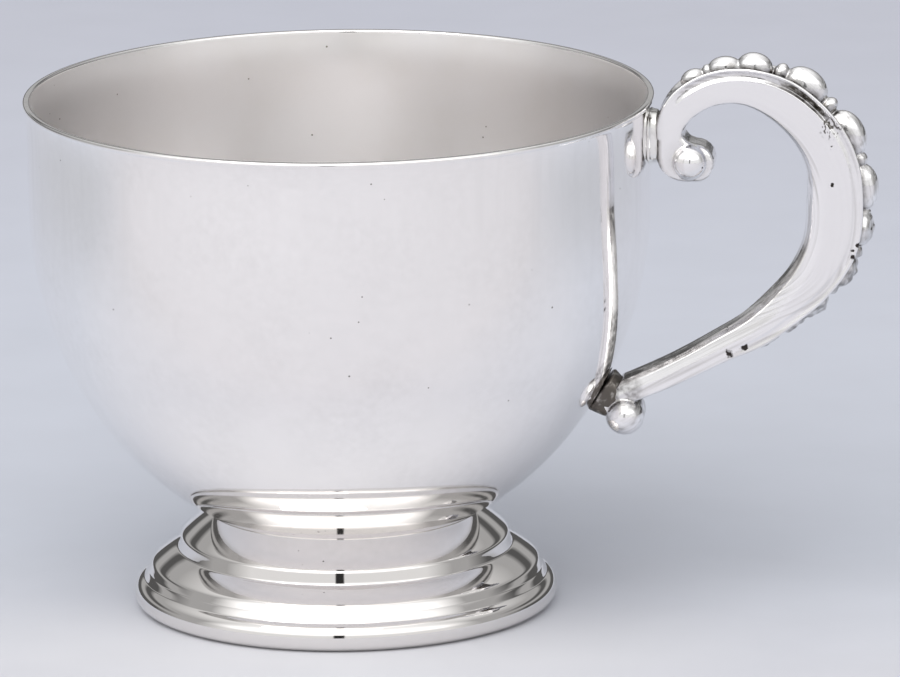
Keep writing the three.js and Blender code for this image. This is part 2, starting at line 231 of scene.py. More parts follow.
def makeSatinPlate(name, p):
    material, tree = newMaterial(name)
    place = millimetres(tree)
    height = add(tree, "ShaderNodeSeparateXYZ", [place]).outputs["Z"]
    lines = millimetres(tree, p["marks"])
    marks = add(tree, "ShaderNodeTexNoise", {"Vector": lines, "Scale": 1, "Detail": 5})
    stain = add(tree, "ShaderNodeTexNoise", {"Vector": place, "Scale": 1 / p["stainSize"], "Detail": 5})
    stain = add(tree, "ShaderNodeMapRange", [stain, *p["stainRange"]])
    specks = pinHoles(tree, place, *p["specks"])
    colours = [linear(p["colour"]), linear(p["stain"])]
    colour = add(tree, "ShaderNodeMix", [stain, *colours], data_type="RGBA")
    colour = add(tree, "ShaderNodeMix", [specks, colour, linear(p["speckColour"])], data_type="RGBA")
    roughness = add(tree, "ShaderNodeMapRange", [marks, *p["roughness"]])
    coarser = add(tree, "ShaderNodeMapRange", [height, *p["coarser"]])
    roughness = add(tree, "ShaderNodeMath", [roughness, coarser], operation="ADD")
    bump = add(tree, "ShaderNodeBump", {"Strength": 1, "Distance": p["markDepth"] * mm, "Height": marks})
    shader = add(tree, "ShaderNodeBsdfPrincipled", {
        "Base Color": colour, "Roughness": roughness, "Normal": bump, "Metallic": 1,
    })
    add(tree, "ShaderNodeOutputMaterial", [shader])
    return material


# cast silver plate, filed flat, buffed and worn: bright on top, pitted, with tarnish and painted shade in the
# recesses
castPlate = {
    "colour": "#FBFAFB",
    # the tarnish colour also serves for the painted shade in the recesses and the painted dark reflection at
    # the lower solder
    "tarnish": "#57534F",
    "reach": 2.0,  # a recess shades itself over this length
    "recess": (0.5, 0.97, 1, 0),  # openness to tarnish and painted shade
    "patch": 0.9,  # turns of the patches in which it wears
    "patchRange": (0.35, 0.6, 0.55, 1),
    "roughness": (0.3, 0.7, 0.09, 0.2),
    "pits": (1.5, 0.16, 0.35),  # spacing, radius and share of the cells
    "pitColour": "#3E3A38",
    "skin": 1.3,  # between the soft dimples of the casting
    "skinDepth": 0.02,
    # file marks run round the middle of the C, and straight along the arm
    "curl": (46.5, 51.5),
    "armTilt": 27.7,  # degrees
    "armOffset": 25.8,  # brings the straight marks level with the round ones where they meet
    "armHeight": (38, 45, 1, 0),
    "mark": (0.45, 0.45, 16),  # a mark's width, depth and length
    "markDepth": 0.026,
    "markRange": (-0.02, 0.16, 0, 0.6),
    "markColour": "#B9B6B3",
    "flatSide": (2.58, 2.66, 1, 0.03),  # distance from the middle, beyond which the sides are polished smooth
    "armGrime": 0.7,  # share of the marks that stays dark on the arm's smooth sides
    # dents of a tool and of wear: x, y, z and radius, ragged by a noise of so many turns
    "nicks": [
        (49.5, -2.72, 33.4, 0.5), (51.2, -2.72, 34.1, 0.5), (65.0, -2.6, 45.9, 0.45), (65.3, -2.6, 46.8, 0.3),
        (65.8, -2.5, 47.6, 0.42), (62.5, -2.72, 60.3, 0.34), (62.5, -2.72, 55.1, 0.2),
    ],
    "ragged": 1.6,
    "raggedRange": (0.3, 0.7, -0.3, 0.3),
    # a place scratched across
    "scratched": (62.4, -2.75, 62.6),
    "scratchReach": 1.7,
    "scratch": (3.4, 0.3, 1.9),  # turns
    "scratchRange": (0.53, 0.59),
    "scratchColour": "#6F6B68",
    # dark joint of the mould: distance from the middle of the C, half its width, and its two ends
    "seam": 19.7,
    "seamWidth": (0.225, 0.45, 1, 0),
    "seamFrom": (63.2, 64.2),
    "seamTo": (67.8, 68.8, 1, 0),
    "seamRange": (0.35, 0.55, 0.5, 1),
    # the lower ornament is grey from wear and grime
    "wornHeight": (44, 52, 1, 0),
    "wornBeyond": (16.8, 17.8),  # distance from the middle of the C
    "wornWithin": (2.25, 2.5, 1, 0),  # and from the middle of the strap
    "wornRange": (0.35, 0.62, 0.12, 0.7),
    # painted dark reflection beside the lower solder and over the lower roller
    "joint": (35.4, 0, 27.2),
    "jointReach": (3.0, 4.8, 1, 0),
    "jointRange": (0.4, 0.62, 0.1, 0.8),
}


def makeCastPlate(name, p):
    material, tree = newMaterial(name)
    place = millimetres(tree)
    parts = add(tree, "ShaderNodeSeparateXYZ", [place]).outputs
    patchy = add(tree, "ShaderNodeTexNoise", {"Vector": place, "Scale": p["patch"], "Detail": 4})
    ragged = add(tree, "ShaderNodeTexNoise", {"Vector": place, "Scale": p["ragged"], "Detail": 2})
    offMiddle = add(tree, "ShaderNodeMath", [parts["Y"]], operation="ABSOLUTE")
    flat = add(tree, "ShaderNodeCombineXYZ", {"X": parts["X"], "Z": parts["Z"]})
    curlX, curlZ = p["curl"]
    fromCurl = add(tree, "ShaderNodeVectorMath", [flat, (curlX, 0, curlZ)], operation="DISTANCE")
    # file marks
    tilt = math.radians(p["armTilt"])
    acrossArm = (math.sin(tilt), 0, -math.cos(tilt))
    straight = add(tree, "ShaderNodeVectorMath", [flat, acrossArm], operation="DOT_PRODUCT")
    straight = add(tree, "ShaderNodeMath", [straight, p["armOffset"]], operation="ADD")
    onArm = add(tree, "ShaderNodeMapRange", [parts["Z"], *p["armHeight"]])
    across = add(tree, "ShaderNodeMix", [onArm, fromCurl, straight])
    lines = add(tree, "ShaderNodeCombineXYZ", [across, parts["Y"], parts["X"]])
    lines = add(tree, "ShaderNodeVectorMath", [lines, [1 / size for size in p["mark"]]], operation="MULTIPLY")
    marks = add(tree, "ShaderNodeTexNoise", {"Vector": lines, "Scale": 1, "Detail": 3})
    marks = add(tree, "ShaderNodeMath", [marks, 0.5], operation="SUBTRACT")
    rounded = add(tree, "ShaderNodeMapRange", [offMiddle, *p["flatSide"]])
    relief = add(tree, "ShaderNodeMath", [marks, rounded], operation="MULTIPLY")
    grimy = add(tree, "ShaderNodeMath", [onArm, p["armGrime"]], operation="MULTIPLY")
    grimy = add(tree, "ShaderNodeMath", [rounded, grimy], operation="MAXIMUM")
    grimy = add(tree, "ShaderNodeMath", [marks, grimy], operation="MULTIPLY")
    grimy = add(tree, "ShaderNodeMapRange", [grimy, *p["markRange"]])
    colours = [linear(p["colour"]), linear(p["markColour"])]
    colour = add(tree, "ShaderNodeMix", [grimy, *colours], data_type="RGBA")
    # scratches
    lines = millimetres(tree, p["scratch"])
    strokes = add(tree, "ShaderNodeTexNoise", {"Vector": lines, "Scale": 1, "Detail": 1})
    strokes = add(tree, "ShaderNodeMapRange", [strokes, *p["scratchRange"]])
    away = add(tree, "ShaderNodeVectorMath", [place, p["scratched"]], operation="DISTANCE")
    reach = p["scratchReach"]
    scratched = add(tree, "ShaderNodeMapRange", [away, reach * dotCore, reach, 1, 0])
    scratched = add(tree, "ShaderNodeMath", [strokes, scratched], operation="MULTIPLY")
    colour = add(tree, "ShaderNodeMix", [scratched, colour, linear(p["scratchColour"])], data_type="RGBA")
    # tarnish and painted shade in the recesses, tarnish along the mould's joint and on the worn ornament, and
    # a painted dark reflection beside the lower solder
    # the occlusion darkens the recesses towards the tarnish colour: partly real tarnish, partly painted shade
    shade = add(tree, "ShaderNodeAmbientOcclusion", {"Distance": p["reach"] * mm}, samples=8).outputs["AO"]
    recess = [
        add(tree, "ShaderNodeMapRange", [shade, *p["recess"]]),
        add(tree, "ShaderNodeMapRange", [patchy, *p["patchRange"]]),
    ]
    offSeam = add(tree, "ShaderNodeMath", [fromCurl, p["seam"]], operation="SUBTRACT")
    offSeam = add(tree, "ShaderNodeMath", [offSeam], operation="ABSOLUTE")
    seam = [
        add(tree, "ShaderNodeMapRange", [offSeam, *p["seamWidth"]]),
        add(tree, "ShaderNodeMapRange", [parts["Z"], *p["seamFrom"]]),
        add(tree, "ShaderNodeMapRange", [parts["Z"], *p["seamTo"]]),
        add(tree, "ShaderNodeMapRange", [ragged, *p["seamRange"]]),
    ]
    # painted dark reflection on the lower roller and beside the lower solder
    fromJoint = add(tree, "ShaderNodeVectorMath", [place, p["joint"]], operation="DISTANCE")
    joint = [
        add(tree, "ShaderNodeMapRange", [fromJoint, *p["jointReach"]]),
        add(tree, "ShaderNodeMapRange", [patchy, *p["jointRange"]]),
    ]
    worn = [
        add(tree, "ShaderNodeMapRange", [parts["Z"], *p["wornHeight"]]),
        add(tree, "ShaderNodeMapRange", [offMiddle, *p["wornWithin"]]),
        add(tree, "ShaderNodeMapRange", [fromCurl, *p["wornBeyond"]]),
        add(tree, "ShaderNodeMapRange", [patchy, *p["wornRange"]]),
    ]
    # tarnish gathers real tarnish and grime with the painted shade in the recesses and the painted dark
    # reflection at the lower solder
    tarnish = 0
    for first, *others in (recess, seam, joint, worn):
        for other in others:
            first = add(tree, "ShaderNodeMath", [first, other], operation="MULTIPLY")
        tarnish = add(tree, "ShaderNodeMath", [tarnish, first], operation="MAXIMUM")
    colour = add(tree, "ShaderNodeMix", [tarnish, colour, linear(p["tarnish"])], data_type="RGBA")
    # pits and nicks
    pits = pinHoles(tree, place, *p["pits"])
    uneven = add(tree, "ShaderNodeMapRange", [ragged, *p["raggedRange"]])
    for *spot, radius in p["nicks"]:
        away = add(tree, "ShaderNodeVectorMath", [place, spot], operation="DISTANCE")
        away = add(tree, "ShaderNodeMath", [away, uneven], operation="ADD")
        nick = add(tree, "ShaderNodeMapRange", [away, radius * dotCore, radius, 1, 0])
        pits = add(tree, "ShaderNodeMath", [pits, nick], operation="MAXIMUM")
    colour = add(tree, "ShaderNodeMix", [pits, colour, linear(p["pitColour"])], data_type="RGBA")
    skin = add(tree, "ShaderNodeTexNoise", {"Vector": place, "Scale": 1 / p["skin"], "Detail": 2})
    skin = add(tree, "ShaderNodeMath", [skin, pits], operation="SUBTRACT")
    dents = add(tree, "ShaderNodeBump", {"Strength": 1, "Distance": p["skinDepth"] * mm, "Height": skin})
    bump = add(tree, "ShaderNodeBump", {
        "Strength": 1, "Distance": p["markDepth"] * mm, "Height": relief, "Normal": dents,
    })
    roughness = add(tree, "ShaderNodeMapRange", [patchy, *p["roughness"]])
    shader = add(tree, "ShaderNodeBsdfPrincipled", {
        "Base Color": colour, "Roughness": roughness, "Normal": bump, "Metallic": 1,
    })
    add(tree, "ShaderNodeOutputMaterial", [shader])
    return material


# solder that was plated with the handle: bright, lumpy where it froze, a little duller in its hollows
platedSolder = {
    "colour": "#F6F5F3",
    "tarnish": "#CFCBC7",
    "tarnishRange": (0.52, 0.67),
    "roughness": (0.3, 0.7, 0.1, 0.22),
    "lump": 2.5,
    "lumpDepth": 0.08,
}
# bare tin solder: dull grey, with the brown-black tarnish of a join that no cloth reaches
bareSolder = {
    "colour": "#BFBBB6",
    "tarnish": "#67625D",
    "tarnishRange": (0.32, 0.47),
    "roughness": (0.3, 0.7, 0.28, 0.45),
    "lump": 1.2,
    "lumpDepth": 0.08,
}


def makeSolder(name, p):
    material, tree = newMaterial(name)
    place = millimetres(tree)
    lumps = add(tree, "ShaderNodeTexNoise", {"Vector": place, "Scale": 1 / p["lump"], "Detail": 5})
    tarnish = add(tree, "ShaderNodeMapRange", [lumps, *p["tarnishRange"]])
    colours = [linear(p["colour"]), linear(p["tarnish"])]
    colour = add(tree, "ShaderNodeMix", [tarnish, *colours], data_type="RGBA")
    roughness = add(tree, "ShaderNodeMapRange", [lumps, *p["roughness"]])
    bump = add(tree, "ShaderNodeBump", {"Strength": 1, "Distance": p["lumpDepth"] * mm, "Height": lumps})
    shader = add(tree, "ShaderNodeBsdfPrincipled", {
        "Base Color": colour, "Roughness": roughness, "Normal": bump, "Metallic": 1,
    })
    add(tree, "ShaderNodeOutputMaterial", [shader])
    return material


mirrorSilver = makeBuffedPlate("silver plate, spun and wheel buffed", buffedPlate)
# the foot gets a darker, warmer colour than the bowl's plate: painted shade for the darker reflections on its
# treads
shadedFootSilver = makeBuffedPlate("silver plate, turned foot, painted darker", {
    **buffedPlate, "colour": "#EBE8E6", "hazeColour": "#E9E5E2", "mirror": 0.03, "haze": 0.05,
    "rippleDepth": 0.01, "ring": 0.8, "ringDepth": 0.0015, "holes": [(5, 0.14, 0.35)],
})
satinSilver = makeSatinPlate("silver plate, satin inside", satinPlate)
castSilver = makeCastPlate("silver plate, cast and worn", castPlate)
cleanSolder = makeSolder("solder, plated over", platedSolder)
darkSolder = makeSolder("solder, tarnished", bareSolder)
print("materials made")


# a bmesh becomes an object that rides on the cup and stands for its CAD node
def toPiece(name, bm, node, materials, subdivisions=0):
    mesh = bpy.data.meshes.new(name)
    bm.to_mesh(mesh)
    bm.free()
    for material in materials:
        mesh.materials.append(material)
    for face in mesh.polygons:
        face.use_smooth = True
    piece = bpy.data.objects.new(name, mesh)
    bpy.context.scene.collection.objects.link(piece)
    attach(piece, "root")
    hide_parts(node)
    if subdivisions:
        smooth = piece.modifiers.new("smooth", "SUBSURF")
        smooth.levels = smooth.render_levels = subdivisions
    return piece


# part of a circle as (across, up), with its two ends in degrees
def arc(across, up, radius, first, last, steps):
    turns = [math.radians(first + (last - first) * i / steps) for i in range(steps + 1)]
    return [(across + radius * math.cos(t), up + radius * math.sin(t)) for t in turns]


# an outline of (radius, height) in mm, spun right round the axis
def spun(outline, steps, joined=False):
    bm = bmesh.new()
    points = [bm.verts.new((axisX + radius * mm, 0, height * mm)) for radius, height in outline]
    lines = [bm.edges.new(pair) for pair in zip(points, points[1:])]
    if joined:
        lines.append(bm.edges.new((points[-1], points[0])))
    bmesh.ops.spin(
        bm, geom=points + lines, cent=(axisX, 0, 0), axis=(0, 0, 1), dvec=(0, 0, 0),
        angle=math.tau, steps=steps, use_merge=True, use_normal_flip=False, use_duplicate=False,
    )
    bmesh.ops.remove_doubles(bm, verts=bm.verts, dist=0.001 * mm)
    bmesh.ops.recalc_face_normals(bm, faces=bm.faces)
    return bm


def facesAxis(face):
    middle = face.calc_center_median()
    out = Vector((middle.x - axisX, middle.y, 0)).normalized()
    return face.normal.dot(out) < -0.1  # a level face looks neither way


# bowl: half an ellipse and an upright wall, the lip turned out and rounded over; sizes in mm
bowl = {
    "radius": 39.5,
    "shoulder": 52.5,  # where the upright wall begins
    "underside": 7.9,
    "sheet": 0.9,
    "arcPoints": 16,
    "lip": [
        (39.5, 57), (39.5, 60.5), (39.53, 62.6), (39.62, 64.1), (39.73, 65.0), (39.78, 65.28),
        (39.82, 65.36), (39.93, 65.42), (40.0, 65.55), (40.0, 65.75), (39.93, 65.92), (39.8, 66),
        (39.5, 66.01), (39.25, 66), (39.13, 65.93), (39.08, 65.75), (39.03, 65.3), (38.88, 64.1),
        (38.72, 62.6), (38.62, 60.5), (38.6, 57),
    ],
    "satinTop": 65.6,
    "floorTop": 30,  # faces that look up below this height are the bowl's floor
    "steps": 64,
    "subdivisions": 2,
}


def makeBowl(b):
    def ellipse(inset):
        across, down = b["radius"] - inset, b["shoulder"] - b["underside"] - inset
        turns = [math.pi / 2 * i / b["arcPoints"] for i in range(b["arcPoints"] + 1)]
        return [(across * math.sin(t), b["shoulder"] - down * math.cos(t)) for t in turns]

    bm = spun([*ellipse(0), *b["lip"], *reversed(ellipse(b["sheet"]))], b["steps"])
    for face in bm.faces:
        height = face.calc_center_median().z / mm
        inside = facesAxis(face) or (face.normal.z > 0 and height < b["floorTop"])
        if inside and height < b["satinTop"]:
            face.material_index = 1
    toPiece("bowl_spun", bm, "bowl", [mirrorSilver, satinSilver], b["subdivisions"])


makeBowl(bowl)


# foot: two sloping treads with short walls, over a half-round bead; sizes in mm
foot = {
    "outside": [
        (16.84, 12.34), (16.86, 12.24), (16.93, 12.14), (18.2, 11.28), (19.4, 10.4), (20.35, 9.62),
        (20.72, 9.28), (20.88, 9.08), (20.96, 8.85), (21.05, 8.4), (21.18, 7.9), (21.27, 7.55),
        (21.4, 7.42), (21.75, 7.28), (22.6, 6.92), (23.6, 6.35), (24.3, 5.88), (24.58, 5.65),
        (24.72, 5.45), (24.85, 5.2), (25.06, 4.8), (25.13, 4.62), (25.2, 4.55), (25.45, 4.1),
        (25.62, 3.78), (25.69, 3.66), (25.78, 3.6),
    ],
    "bead": (25.15, 1.85, 1.85, 70, -74, 11),  # its centre and radius, its two ends in degrees, and the steps
    "inside": [
        (25.6, 0.02), (25.15, 0), (24.7, 0.02), (24.45, 0.2), (24.3, 0.6), (24.25, 1.8),
        (24.25, 2.9), (24.15, 3.3), (24.0, 4.6), (23.85, 4.9), (22.0, 6.1), (20.7, 6.7),
        (20.4, 6.95), (20.25, 8.0), (20.1, 8.35), (18.5, 9.6), (16.3, 11.2), (16.02, 11.5),
        (16.0, 11.9), (16.05, 12.2), (16.4, 12.36),
    ],
    "steps": 64,
    "subdivisions": 2,
}


def makeFoot(f):
    bm = spun([*f["outside"], *arc(*f["bead"])[1:], *f["inside"]], f["steps"], joined=True)
    for face in bm.faces:
        if facesAxis(face):
            face.material_index = 1
    toPiece("foot_spun", bm, "foot", [shadedFootSilver, satinSilver], f["subdivisions"])


makeFoot(foot)


# solder inside the foot: a fillet that ran round the neck and hangs in lumps; sizes in mm
footSolder = {
    "outline": [
        (15.7, 9.95), (15.72, 11.0), (15.7, 11.45), (14.9, 11.1), (14.2, 10.8), (14.7, 10.7), (15.3, 10.35),
    ],
    "steps": 96,
    "lumpsBelow": 10.8,
    "lumpSize": 1.6,
    "lump": 0.15,
    "subdivisions": 1,
}


def makeFootSolder(s):
    bm = spun(s["outline"], s["steps"], joined=True)
    for point in bm.verts:
        if point.co.z < s["lumpsBelow"] * mm:
            point.co.z -= abs(noise.noise(point.co / (s["lumpSize"] * mm))) * s["lump"] * mm
    toPiece("foot_solder_fillet", bm, "foot_solder", [darkSolder], s["subdivisions"])


makeFootSolder(footSolder)
print("bowl and foot made")


joinSlope = (0.815, 0, -0.58)  # way out from the bowl's wall where the handle's lower end meets it

# handle: sizes and places are in mm from the bowl's axis; shares are of the strap's length, scroll first
handle = {
    "seat": 40.3,  # flat of the scroll's back
    "reach": 22.5,  # from there to the middle of the strap where it is farthest out
    "low": 27.6,  # height of the strap's lower end
    "rise": 40.05,  # from there to the middle of the strap at the top of the C
    # stations along the middle of the strap: shares of its reach and its rise, and the strap's depth
    "stations": [
        (0.073, 0.831, 3.3), (0.084, 0.881, 3.7), (0.158, 0.943, 4.2), (0.314, 0.993, 4.45),
        (0.502, 1.001, 4.8), (0.703, 0.9585, 5.75), (0.88, 0.866, 6.4), (0.979, 0.759, 6.9),
        (0.999, 0.63, 7.3), (0.97, 0.49, 7.05), (0.853, 0.374, 6.1), (0.716, 0.296, 5.35),
        (0.545, 0.217, 4.75), (0.368, 0.164, 3.95), (0.086, 0.081, 3.5), (-0.318, -0.0175, 3.15),
    ],
    "spans": 7,  # sections between two stations
    "thickness": 5.5,  # from side to side
    "innerRounding": 0.63,  # of the edges inside the C, at the scroll
    "roundingGains": [(1.47, 0.12, 0.42), (0.63, 0.6, 0.75)],  # what it gains between two shares
    "ridge": 0.45,
    # channel between the ridges, hollow moulding beside them, and the line that the mould's joint left: each
    # has a depth, the two shares between which it starts, and the two between which it ends
    "channel": (0.75, (0.03, 0.1), (0.7, 0.8)),
    "cove": (0.34, (0.05, 0.1), (0.7, 0.8)),
    "coveFades": (0.3, 0.45),  # between these shares it becomes half as deep
    "cut": (0.6, (0.2, 0.25), (0.29, 0.33)),
    "endAt": (34.25, 27.6),  # a point of the face at the lower end, which is cut along the bowl's slope
    "endBelow": 38,
    # the scroll: its heel and eye, each with x, z, radius, two ends in degrees and steps, and its throat
    "heel": (43.8, 58.9, 3.5, 195, 270, 5),
    "eye": (45.25, 57.8, 2.45, -75, 90, 11),
    "throat": [(44.4, 60.6), (43.85, 61.3), (43.65, 62.2), (43.65, 63.5)],
    "scrollRounding": 0.8,
    "upperRoller": (44.55, 58.0, 2.35),
    "lowerRoller": (36.0, 24.95, 2.45),
    "rollerLength": 8.5,
    # bosses along the channel: share, then length, width and height above the ridges
    "bosses": [
        (0.097, 3.4, 2.2, 0.85), (0.141, 4.5, 2.8, 1.2), (0.188, 4.8, 3.1, 1.7), (0.257, 6.2, 3.5, 2.15),
        (0.35, 6.5, 3.6, 2.0), (0.427, 6.3, 3.7, 1.9), (0.492, 5.0, 3.8, 1.45), (0.553, 5.0, 3.7, 1.2),
        (0.614, 4.6, 3.8, 1.05), (0.66, 4.9, 3.4, 0.8), (0.71, 5.2, 2.8, 0.5),
    ],
    # round pearls between them: share, width and height
    "pearls": [
        (0.118, 1.6, 0.65), (0.165, 1.7, 0.9), (0.22, 2.1, 1.25), (0.3, 2.1, 1.25), (0.388, 2.3, 1.0),
        (0.464, 2.3, 0.9), (0.522, 2.1, 0.7), (0.585, 2.3, 0.6), (0.637, 2.3, 0.6),
    ],
    "crown": 0.8,  # below 1 a boss has steeper sides and a flatter top than half an egg
    "wear": 0.28,  # the lower bosses, where the cup was held, are worn to lumps
    "wornFrom": (0.4, 0.56),
    "wornTurns": (0.4, 0.55),  # of the lumps in a mm, across a boss and up it
    # one skin over all of it, with the soft corners of a casting
    "voxel": 0.125,
    "softening": 2,  # rounds of smoothing
    "thinning": 0.55,  # share of the faces that stays
}


def ease(value, low, high):
    share = min(max((value - low) / (high - low), 0), 1)
    return share * share * (3 - 2 * share)


def depthAt(share, depth, start, end):
    return depth * ease(share, *start) * (1 - ease(share, *end))


# smooth curve through points of (x, z, depth)
def throughPoints(points, spans):
    ends = [points[0] * 2 - points[1], *points, points[-1] * 2 - points[-2]]
    curve = []
    for a, b, c, d in zip(ends, ends[1:], ends[2:], ends[3:]):
        before, here, after = ((q - p).xy.length ** 0.5 for p, q in ((a, b), (b, c), (c, d)))
        leaving = ((b - a) / before - (c - a) / (before + here) + (c - b) / here) * here / 3
        arriving = ((c - b) / here - (d - b) / (here + after) + (d - c) / after) * here / 3
        curve += interpolate_bezier(b, b + leaving, c - arriving, c, spans + 1)[:-1]
    return [*curve, points[-1]]


# the strap's middle line, with the way out of the C at each place
class Strap:
    def __init__(self, h):
        stations = [Vector((h["seat"] + out * h["reach"], h["low"] + up * h["rise"], depth))
                    for out, up, depth in h["stations"]]
        self.line = throughPoints(stations, h["spans"])
        steps = [(b - a).xy.length for a, b in zip(self.line, self.line[1:])]
        self.along = [sum(steps[:i]) for i in range(len(self.line))]

    # middle, direction and way out at one point, all as (x, z), and the depth there
    def at(self, i):
        first, last = self.line[max(i - 1, 0)], self.line[min(i + 1, len(self.line) - 1)]
        way = (last - first).xy.normalized()
        return self.line[i].xy, way, Vector((-way.y, way.x)), self.line[i].z

    def share(self, i):
        return self.along[i] / self.along[-1]

    def nearest(self, share):
        return min(range(len(self.line)), key=lambda i: abs(self.share(i) - share))


# half of the strap's section from the inner edge to the middle of the channel: (outwards, sideways)
def section(h, share, depth):
    inner, outer, half = -depth / 2, depth / 2, h["thickness"] / 2
    soft = h["innerRounding"] + sum(gain * ease(share, *span) for gain, *span in h["roundingGains"])
    soft = min(soft, depth * 0.45)  # the rounding stays on the inner half
    cove = depthAt(share, *h["cove"]) * (1 - ease(share, *h["coveFades"]) / 2)
    cut = depthAt(share, *h["cut"])
    channel = depthAt(share, *h["channel"])
    ridge = h["ridge"]
    return [
        # rounded inner edge
        (inner, 0), (inner, half - soft * 1.3), (inner + soft * 0.12, half - soft * 0.55),
        (inner + soft * 0.45, half - soft * 0.12), (inner + soft * 1.2, half),
        # flat side, the mould's line and the cove
        (outer - ridge - 0.95, half), (outer - ridge - 0.85, half - cove * 0.5 - cut),
        (outer - ridge - 0.6, half - cove * 0.9 - cut * 0.5), (outer - ridge - 0.25, half - cove),
        # ridge
        (outer - ridge, half - cove * 0.6), (outer - ridge * 0.6, half - cove * 0.15),
        (outer - ridge * 0.15, half - 0.08), (outer, half - 0.3), (outer - 0.04, half - 0.52),
        # channel
        (outer - channel * 0.5, half - 0.72), (outer - channel, half - 1.1), (outer - channel, 0),
    ]


def addStrap(bm, h, strap):
    rings = []
    for i in range(len(strap.line)):
        middle, way, out, depth = strap.at(i)
        side = section(h, strap.share(i), depth)
        both = side + [(o, -a) for o, a in side[-2:0:-1]]
        ring = [bm.verts.new((axisX + (middle.x + out.x * o) * mm, a * mm, (middle.y + out.y * o) * mm))
                for o, a in both]
        rings.append([bm.edges.new((a, b)) for a, b in zip(ring, ring[1:] + ring[:1])])
    for first, second in zip(rings, rings[1:]):
        bmesh.ops.bridge_loops(bm, edges=first + second)
    for end in (rings[0], rings[-1]):
        bmesh.ops.contextual_create(bm, geom=end)


# cuts the strap's lower end along the bowl's slope and closes it
def cutEnd(bm, h):
    x, z = h["endAt"]
    arm = [f for f in bm.faces if all(v.co.z < h["endBelow"] * mm for v in f.verts)]
    arm += list({e for f in arm for e in f.edges}) + list({v for f in arm for v in f.verts})
    cut = bmesh.ops.bisect_plane(
        bm, geom=arm, dist=0.0001 * mm, plane_co=(axisX + x * mm, 0, z * mm), plane_no=joinSlope,
        clear_inner=True,
    )["geom_cut"]
    bmesh.ops.contextual_create(bm, geom=[e for e in cut if isinstance(e, bmesh.types.BMEdge)])


def addScroll(bm, h):
    half = h["thickness"] / 2
    top = h["throat"][-1][1]
    outline = [(h["seat"], top), (h["seat"], h["heel"][1])]
    outline += [*arc(*h["heel"]), *arc(*h["eye"]), *h["throat"]]
    points = [bm.verts.new((axisX + x * mm, -half * mm, z * mm)) for x, z in outline]
    face = bm.faces.new(points)
    made = bmesh.ops.extrude_face_region(bm, geom=[face], use_keep_orig=True)
    far = [v for v in made["geom"] if isinstance(v, bmesh.types.BMVert)]
    bmesh.ops.translate(bm, verts=far, vec=(0, 2 * half * mm, 0))
    edges = {e for v in points + far for e in v.link_edges}
    rims = [e for e in edges if abs(e.verts[0].co.y - e.verts[1].co.y) < half * mm]
    bmesh.ops.bevel(
        bm, geom=rims, offset=h["scrollRounding"] * mm, affect="EDGES", segments=4, profile=0.5, material=-1,
        clamp_overlap=True,
    )


# a rod with two ball ends, square to the strap
def addRoller(bm, x, z, radius, length):
    made = bmesh.ops.create_uvsphere(bm, u_segments=32, v_segments=17, radius=radius * mm)["verts"]
    bmesh.ops.rotate(bm, verts=made, cent=(0, 0, 0), matrix=Matrix.Rotation(math.pi / 2, 3, "X"))
    for point in made:
        point.co.y += math.copysign(length / 2 - radius, point.co.y) * mm
    bmesh.ops.translate(bm, verts=made, vec=(axisX + x * mm, 0, z * mm))


# an almond with full sides and a low crown, lumpy where it is worn
def addBoss(bm, h, strap, share, length, width, height):
    i = strap.nearest(share)
    middle, way, out, depth = strap.at(i)
    sunk = depthAt(strap.share(i), *h["channel"])
    wear = h["wear"] * ease(share, *h["wornFrom"])
    across, upwards = h["wornTurns"]
    made = bmesh.ops.create_uvsphere(bm, u_segments=32, v_segments=20, radius=1)["verts"]
    for point in made:
        point.co.z = math.copysign(abs(point.co.z) ** h["crown"], point.co.z)
        spot = Vector((point.co.x * length, point.co.y * width, share * 60))  # no two bosses wear alike
        point.co.z *= 1 + wear * noise.noise(spot * upwards)
        point.co.y *= 1 + wear * noise.noise(spot * across)
    bmesh.ops.scale(bm, verts=made, vec=(length / 2 * mm, width / 2 * mm, (height + sunk) * mm))
    turn = Matrix(((way.x, 0, out.x), (0, 1, 0), (way.y, 0, out.y)))
    bmesh.ops.rotate(bm, verts=made, cent=(0, 0, 0), matrix=turn)
    base = middle + out * (depth / 2 - sunk)
    bmesh.ops.translate(bm, verts=made, vec=(axisX + base.x * mm, 0, base.y * mm))


def makeHandle(h):
    strap = Strap(h)
    bm = bmesh.new()
    addStrap(bm, h, strap)
    cutEnd(bm, h)
    addScroll(bm, h)
    for x, z, radius in (h["upperRoller"], h["lowerRoller"]):
        addRoller(bm, x, z, radius, h["rollerLength"])
    for share, length, width, height in h["bosses"]:
        addBoss(bm, h, strap, share, length, width, height)
    for share, width, height in h["pearls"]:
        addBoss(bm, h, strap, share, width, width, height)
    bmesh.ops.recalc_face_normals(bm, faces=bm.faces)
    piece = toPiece("handle_cast", bm, "handle", [castSilver])
    skin = piece.modifiers.new("one casting", "REMESH")
    skin.mode = "VOXEL"
    skin.voxel_size = h["voxel"] * mm
    skin.use_smooth_shade = True
    worn = piece.modifiers.new("worn edges", "SMOOTH")
    worn.factor = 0.5
    worn.iterations = h["softening"]
    thinner = piece.modifiers.new("fewer faces", "DECIMATE")
    thinner.ratio = h["thinning"]


makeHandle(handle)
print("handle made")


